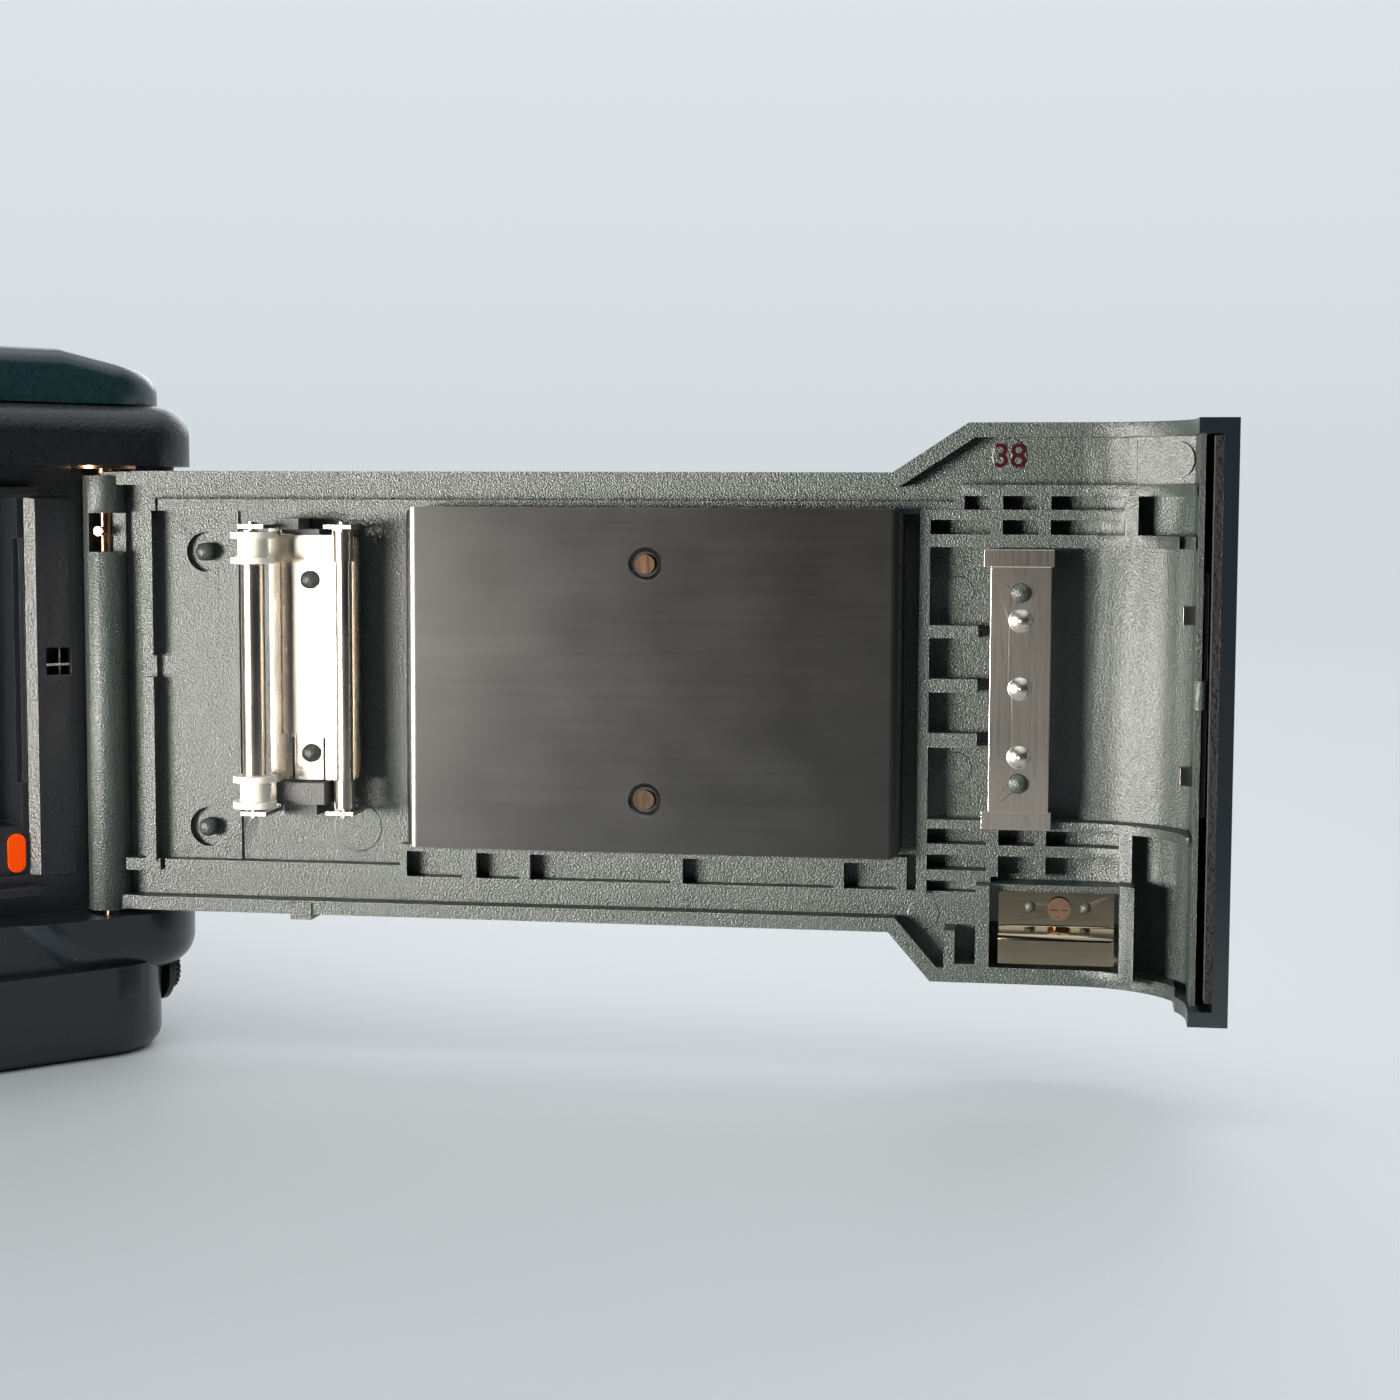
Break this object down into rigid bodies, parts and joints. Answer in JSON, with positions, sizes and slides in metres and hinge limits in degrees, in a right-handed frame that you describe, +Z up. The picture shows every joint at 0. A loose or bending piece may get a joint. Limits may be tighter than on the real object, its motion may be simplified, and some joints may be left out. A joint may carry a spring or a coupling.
{
  "type": "film slr camera",
  "caption": "Film SLR camera body with its hinged back wide open: pressure plate, rollers and springs on the door; film chambers, shutter, mirror and prism in the body; bayonet in front.",
  "frame": {"origin": "mouth of the tripod socket, in the plane that the camera stands on, under the lens axis", "axes": "+X to the right of someone behind the camera, +Y along the lens axis to the subject, +Z up"},
  "size_m": [0.2189, 0.1569, 0.1017],
  "materials": {
    "door_plastic": "satin moulded, fine speckle",
    "top_paint": "dark petrol with fine metal flake",
    "body_grain": "pebbled grain",
    "base_satin": "smooth satin",
    "grip_rubber": "fine grain",
    "casting_black": "matt",
    "rail_steel": "polished",
    "mark_orange": "matt",
    "contact_gold": "plated",
    "pin_copper": "bright",
    "nickel": "bright plated",
    "spring_steel": "brushed",
    "plate_black": "blackened, brushed",
    "nylon_white": "milky",
    "knob_black": "satin",
    "felt": "matt",
    "lcd": "clear over grey",
    "dial_black": "satin",
    "shoe_steel": "satin",
    "mount_steel": "satin chrome",
    "lens_glass": "coated",
    "prism_glass": "clear",
    "screen": "matt",
    "mirror_silver": "front silvered",
    "curtain": "matt",
    "battery_skin": "smooth",
    "spool_black": "smooth"
  },
  "bodies": {
    "camera": {"back_contact": "contact_gold", "base_cover": "base_satin", "battery": "battery_skin", "body_casting": "casting_black", "dx_contacts": "contact_gold", "eyecup": "grip_rubber", "eyepiece_lens": "lens_glass", "film_index_mark": "mark_orange", "film_rails": "rail_steel", "focusing_screen": "screen", "front_cover": "body_grain", "grip_shell": "grip_rubber", "hinge_pin_lower": "pin_copper", "hinge_washer": "pin_copper", "hot_shoe": "shoe_steel", "lcd_window": "lcd", "lens_mount_ring": "mount_steel", "mount_screws": "mount_steel", "pentaprism": "prism_glass", "strap_lugs": "shoe_steel", "top_cover": "top_paint", "tripod_socket": "shoe_steel", "upper_cover": "body_grain"},
    "door": {"back_door": "door_plastic", "plate_spring": "spring_steel", "roller_bracket": "nickel", "bracket_blocks": "door_plastic", "cartridge_spring": "spring_steel", "cartridge_clip": "nickel", "clip_screw": "contact_gold", "end_felt": "felt"},
    "hinge_pin": {"hinge_pin": "pin_copper"},
    "pressure_plate": {"pressure_plate": "plate_black", "plate_rivets": "pin_copper"},
    "film_roller": {"film_roller": "nickel", "roller_rings": "nylon_white"},
    "guide_roller": {"guide_roller": "nickel"},
    "latch": {"latch_slide": "plate_black"},
    "grip_screw": {"grip_screw": "knob_black"},
    "mode_dial": {"mode_dial": "dial_black"},
    "command_dial": {"command_dial": "dial_black"},
    "shutter_button": {"shutter_button": "dial_black"},
    "top_button_1": {"top_button_1": "dial_black"},
    "top_button_2": {"top_button_2": "dial_black"},
    "lens_release": {"lens_release_button": "dial_black"},
    "mirror": {"mirror_holder": "plate_black", "mirror_glass": "mirror_silver"},
    "sub_mirror": {"sub_mirror": "mirror_silver"},
    "takeup_spool": {"takeup_spool": "spool_black"},
    "sprocket": {"sprocket_shaft": "spool_black"},
    "rewind_fork": {"rewind_fork": "spool_black"},
    "first_curtain_1": {"first_curtain_1": "curtain"},
    "second_curtain_1": {"second_curtain_1": "curtain"},
    "first_curtain_2": {"first_curtain_2": "curtain"},
    "second_curtain_2": {"second_curtain_2": "curtain"},
    "first_curtain_3": {"first_curtain_3": "curtain"},
    "second_curtain_3": {"second_curtain_3": "curtain"}
  },
  "joints": [
    {"name": "door_hinge", "type": "hinge", "parent": "camera", "child": "door", "pos_m": [0.0652, -0.0172, 0.0425], "axis": [0, 0, -1], "range_deg": [0, 133.2]},
    {"name": "hinge_pin_slide", "type": "slide", "parent": "door", "child": "hinge_pin", "axis": [0, 0, -1], "range_m": [0, 0.0017], "stiffness_N_per_m": 500, "springref_m": -0.002},
    {"name": "pressure_plate_slide", "type": "slide", "parent": "door", "child": "pressure_plate", "axis": [0.729, 0.6845, 0], "range_m": [0, 0.0007], "stiffness_N_per_m": 800, "springref_m": -0.001},
    {"name": "film_roller_spin", "type": "hinge", "parent": "door", "child": "film_roller", "pos_m": [0.07445, -0.03581, 0.045], "axis": [0, 0, 1], "continuous": true},
    {"name": "guide_roller_spin", "type": "hinge", "parent": "door", "child": "guide_roller", "pos_m": [0.08275, -0.04173, 0.045], "axis": [0, 0, 1], "continuous": true},
    {"name": "latch_travel", "type": "slide", "parent": "door", "child": "latch", "axis": [0, 0, 1], "range_m": [0, 0.002]},
    {"name": "grip_screw_spin", "type": "hinge", "parent": "camera", "child": "grip_screw", "pos_m": [0.0721, -0.014, 0.0083], "axis": [1, 0, 0], "continuous": true},
    {"name": "mode_dial_spin", "type": "hinge", "parent": "camera", "child": "mode_dial", "pos_m": [-0.044, -0.003, 0.082], "axis": [0, 0, 1], "continuous": true},
    {"name": "command_dial_spin", "type": "hinge", "parent": "camera", "child": "command_dial", "pos_m": [0.058, 0.012, 0.0786], "axis": [1, 0, 0], "continuous": true},
    {"name": "shutter_press", "type": "slide", "parent": "camera", "child": "shutter_button", "axis": [0, 0, -1], "range_m": [0, 0.0012], "stiffness_N_per_m": 500, "springref_m": -0.001},
    {"name": "top_button_1_press", "type": "slide", "parent": "camera", "child": "top_button_1", "axis": [0, 0, -1], "range_m": [0, 0.0008], "stiffness_N_per_m": 500, "springref_m": -0.001},
    {"name": "top_button_2_press", "type": "slide", "parent": "camera", "child": "top_button_2", "axis": [0, 0, -1], "range_m": [0, 0.0008], "stiffness_N_per_m": 500, "springref_m": -0.001},
    {"name": "lens_release_press", "type": "slide", "parent": "camera", "child": "lens_release", "axis": [0, -1, 0], "range_m": [0, 0.0015], "stiffness_N_per_m": 500, "springref_m": -0.001},
    {"name": "mirror_flip", "type": "hinge", "parent": "camera", "child": "mirror", "pos_m": [0, -0.0015, 0.0595], "axis": [1, 0, 0], "range_deg": [0, 45], "stiffness_Nm_per_rad": 0.01, "springref_deg": -17.19},
    {"name": "sub_mirror_fold", "type": "hinge", "parent": "mirror", "child": "sub_mirror", "pos_m": [0, 0.00953, 0.04578], "axis": [1, 0, 0], "range_deg": [0, 90.05]},
    {"name": "takeup_spin", "type": "hinge", "parent": "camera", "child": "takeup_spool", "pos_m": [0.0465, -0.0008, 0.045], "axis": [0, 0, 1], "continuous": true},
    {"name": "sprocket_spin", "type": "hinge", "parent": "camera", "child": "sprocket", "pos_m": [0.0315, -0.0072, 0.045], "axis": [0, 0, 1], "continuous": true},
    {"name": "rewind_spin", "type": "hinge", "parent": "camera", "child": "rewind_fork", "pos_m": [-0.044, -0.0016, 0.018], "axis": [0, 0, 1], "continuous": true},
    {"name": "first_curtain_1_run", "type": "slide", "parent": "camera", "child": "first_curtain_1", "axis": [0, 0, -1], "range_m": [0, 0.00831]},
    {"name": "first_curtain_2_run", "type": "slide", "parent": "camera", "child": "first_curtain_2", "axis": [0, 0, -1], "range_m": [0, 0.01661]},
    {"name": "first_curtain_3_run", "type": "slide", "parent": "camera", "child": "first_curtain_3", "axis": [0, 0, -1], "range_m": [0, 0.0249]},
    {"name": "second_curtain_1_run", "type": "slide", "parent": "camera", "child": "second_curtain_1", "axis": [0, 0, -1], "range_m": [0, 0.0249]},
    {"name": "second_curtain_2_run", "type": "slide", "parent": "camera", "child": "second_curtain_2", "axis": [0, 0, -1], "range_m": [0, 0.01661]},
    {"name": "second_curtain_3_run", "type": "slide", "parent": "camera", "child": "second_curtain_3", "axis": [0, 0, -1], "range_m": [0, 0.00831]}
  ],
  "couplings": [
    {"joint": "sub_mirror_fold", "follows": "mirror_flip", "ratio": 2},
    {"joint": "first_curtain_1_run", "follows": "first_curtain_3_run", "ratio": 0.33333},
    {"joint": "first_curtain_2_run", "follows": "first_curtain_3_run", "ratio": 0.66667},
    {"joint": "second_curtain_2_run", "follows": "second_curtain_1_run", "ratio": 0.66667},
    {"joint": "second_curtain_3_run", "follows": "second_curtain_1_run", "ratio": 0.33333}
  ]
}
